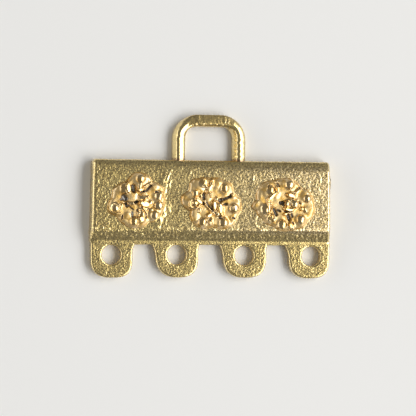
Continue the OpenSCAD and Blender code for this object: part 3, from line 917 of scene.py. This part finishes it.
def loop_path(half, top, spacing):
    """The middle line of the metal: up one leg, round a quarter circle, along the top, and down."""
    turn = np.radians(np.linspace(0, 90, 24))
    leg = np.linspace(-leg_sunk, top - loop_bend, 60)
    right_x = np.concatenate([np.full(60, half), half - loop_bend * (1 - np.cos(turn[1:]))])
    right_y = np.concatenate([leg, top - loop_bend * (1 - np.sin(turn[1:]))])
    line = np.column_stack([
        np.concatenate([right_x, -right_x[::-1]]), np.concatenate([right_y, right_y[::-1]]),
    ])
    walked = np.concatenate([[0], np.cumsum(np.hypot(*np.diff(line, axis=0).T))])
    at = np.linspace(0, walked[-1], int(walked[-1] / spacing))
    return np.column_stack([np.interp(at, walked, line[:, k]) for k in (0, 1)])


def polar_section(section, angles):
    """A section with rounded corners, as its distance from the metal's core in each direction."""
    line = rounded_outline(*section, lambda at: np.full(len(at), 0.02)) - (0, core_z)
    return reach_by_bearing(line, angles)


def loop_skin():
    """Three sections blended along the middle line: one of each leg and one of the top. In the
    corners the metal is a little narrower, by the product of the squares of its two directions,
    and its front is jagged by wandering numbers. The mark "sandy" is how much grain wear has left,
    and "joint" the strip next to the bar."""
    half = (loop_high[0] - loop_low[0]) / 2 - metal_w / 2
    line = loop_path(half, loop_high[1] - loop_low[1] - metal_w / 2, 0.055)
    ahead = np.gradient(line, axis=0)
    ahead /= np.linalg.norm(ahead, axis=1, keepdims=True)
    side = np.column_stack([ahead[:, 1], -ahead[:, 0]])
    around = np.linspace(0, 2 * np.pi, 96, endpoint=False)
    on_right = ramp(0.25, 0.85, side[:, 0])[:, None]
    on_left = ramp(0.25, 0.85, -side[:, 0])[:, None]
    radius = (
        on_right * polar_section(RIGHT_LEG, around)
        + on_left * polar_section(LEFT_LEG, around)
        + (1 - on_right - on_left) * polar_section(TOP_BAR, around)
    )
    corner = (4 * ahead[:, 0] ** 2 * ahead[:, 1] ** 2)[:, None]
    up = core_z + radius * np.sin(around)
    jagged = lumps(np.column_stack([line, np.zeros(len(line))]), (jag_l, 0.28, 9))[:, None]
    across = radius * np.cos(around) * (1 - pinch * corner) + jagged * ramp(0.9, 1.2, up)
    base = np.array([(loop_low[0] + loop_high[0]) / 2, loop_low[1], 0.0])
    points = np.zeros((len(line), len(around), 3)) + base
    points[..., :2] += line[:, None] + side[:, None] * across[..., None]
    points[..., 2] += up
    square = facing(points)
    core = np.zeros_like(points) + base + (0, 0, core_z)
    core[..., :2] += line[:, None]
    outwards = np.sign((square * (points - core)).sum())
    sandy = 1 - leg_wear * np.maximum(on_right, on_left) + 0 * up
    grain = sandy * lumps(points, (0.010, 0.15, 5))
    grain = grain + lumps(points, (0.006, 1.0, 4), (0.005, 0.35, 9))
    points = points + outwards * square * grain[..., None]
    points[..., 2] = np.maximum(points[..., 2], 0)
    joint = ramp(0.24, 0.08, line[:, 1:]) + 0 * up

    def closed(grid):
        """The grid between two more rows, each the mean of the row beside it."""
        first, last = (np.broadcast_to(grid[k].mean(axis=0), grid[:1].shape) for k in (0, -1))
        return np.concatenate([first, grid, last])

    return closed(points), {"sandy": closed(sandy), "joint": closed(joint)}


JOINT_BROWN = (0.34, 0.19, 0.05, 1)


def loop_gold():
    """Gold worn smooth by the clasp on the legs, with the grain left on the top, and a brown line
    where each leg meets the bar."""
    finish = Finish("loop_gold")
    fine = finish.grain(0.09, roughness=0.6)
    sandy = finish.mark("sandy")
    dull = finish.share(finish.grain(0.16), 0.56, 0.38)
    plated = finish.mix(finish.grain(1.0), GOLD, GOLD_PALE)
    colour = finish.mix(sandy * (0.6 + 0.4 * dull), plated, GOLD_DULL)
    colour = finish.mix(finish.mark("joint"), colour, JOINT_BROWN)
    roughness = 0.16 + 0.10 * fine + 0.09 * sandy
    return finish.metal(colour, roughness, fine * (0.3 + 0.7 * sandy), 0.010)


loop = lay_skin("cast_loop", loop_skin(), loop_gold())
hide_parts("clasp_loop")
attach(loop, "root")


# ---- The table ----
# The connector lies on its back on a smooth, warm white table top, which is set a hundredth of a
# millimetre lower so that the two surfaces don't coincide.
half, low = 2, -1e-5
table = bpy.data.meshes.new("table")
table.from_pydata(
    [(-half, -half, low), (half, -half, low), (half, half, low), (-half, half, low)],
    [], [(0, 1, 2, 3)],
)
white = Finish("table_white")
matt = white.node(
    "ShaderNodeBsdfPrincipled", {}, {"Base Color": (0.89, 0.882, 0.855, 1), "Roughness": 0.8},
)
white.node("ShaderNodeOutputMaterial", {}, {"Surface": matt})
table.materials.append(white.material)
table_top = bpy.data.objects.new("table", table)
bpy.context.scene.collection.objects.link(table_top)


# ---- Light ----
# One big soft box high on the right with a dimmer lower edge, white boards standing low on the
# right and on the left, two narrow ones that pick out the grain of the bevels, and an even room.
LIGHT_AWAY = 1.0
LIGHTS = [
    # Name, compass bearing (0 is right, 90 is behind), the heights above the table between which it
    # fills the sky, all in degrees, its width in metres and its radiance
    ("key", -6, 40, 65, 1.25, 4.65),
    ("key_skirt", -6, 28, 40, 1.25, 1.9),
    ("board_right", -10, 3, 28, 1.4, 0.6),
    ("board_left", 180, 3, 28, 1.6, 1.9),
    ("board_front", -48, 3, 30, 0.5, 0.8),
    ("board_back", 42, 15, 45, 0.5, 0.45),
]


def soft_box(name, bearing, low, high, width, radiance):
    """An area light that faces the connector; its power is radiance times pi times its area."""
    middle, half = np.radians(high + low) / 2, np.radians(high - low) / 2
    turned = np.radians(bearing)
    level_part = np.cos(middle)
    toward = Vector((np.cos(turned) * level_part, np.sin(turned) * level_part, np.sin(middle)))
    level = Vector((-np.sin(turned), np.cos(turned), 0))
    tall = 2 * LIGHT_AWAY * np.tan(half)
    data = bpy.data.lights.new(name, "AREA")
    data.shape = "RECTANGLE"
    data.size, data.size_y = width, tall
    data.energy = radiance * np.pi * width * tall
    lamp = bpy.data.objects.new(name, data)
    turn = Matrix((level, toward.cross(level), toward)).transposed()
    lamp.matrix_world = Matrix.Translation(toward * LIGHT_AWAY) @ turn.to_4x4()
    lamp.visible_camera = False
    bpy.context.scene.collection.objects.link(lamp)


for row in LIGHTS:
    soft_box(*row)
world = bpy.data.worlds.new("dim_room")
world.use_nodes = True
world.node_tree.nodes["Background"].inputs["Color"].default_value = (0.195, 0.195, 0.195, 1)
bpy.context.scene.world = world
bpy.context.scene.view_settings.view_transform = "Standard"


# ---- Camera ----
# It looks down from slightly left of straight above, turned a little so that the right end hangs.
LEAN = np.radians(13)
ROLL = np.radians(0.65)
AWAY = 250.0
VIEW_WIDTH = 41.6
SENSOR = 36
lens = bpy.data.cameras.new("camera")
lens.sensor_width = SENSOR
lens.lens = SENSOR * AWAY / VIEW_WIDTH
lens.clip_start = 0.01
aim = bar_mid + (-0.44, -0.524, bar_t)
back = np.array([-np.sin(LEAN), 0, np.cos(LEAN)])
level = np.cross((0, 1, 0), back)
upright = np.cross(back, level)
right = level * np.cos(ROLL) + upright * np.sin(ROLL)
up = upright * np.cos(ROLL) - level * np.sin(ROLL)
camera = bpy.data.objects.new("camera", lens)
camera.matrix_world = Matrix.Translation((aim + back * AWAY) * MM) @ Matrix(
    (right.tolist(), up.tolist(), back.tolist())
).transposed().to_4x4()
bpy.context.scene.collection.objects.link(camera)
bpy.context.scene.camera = camera
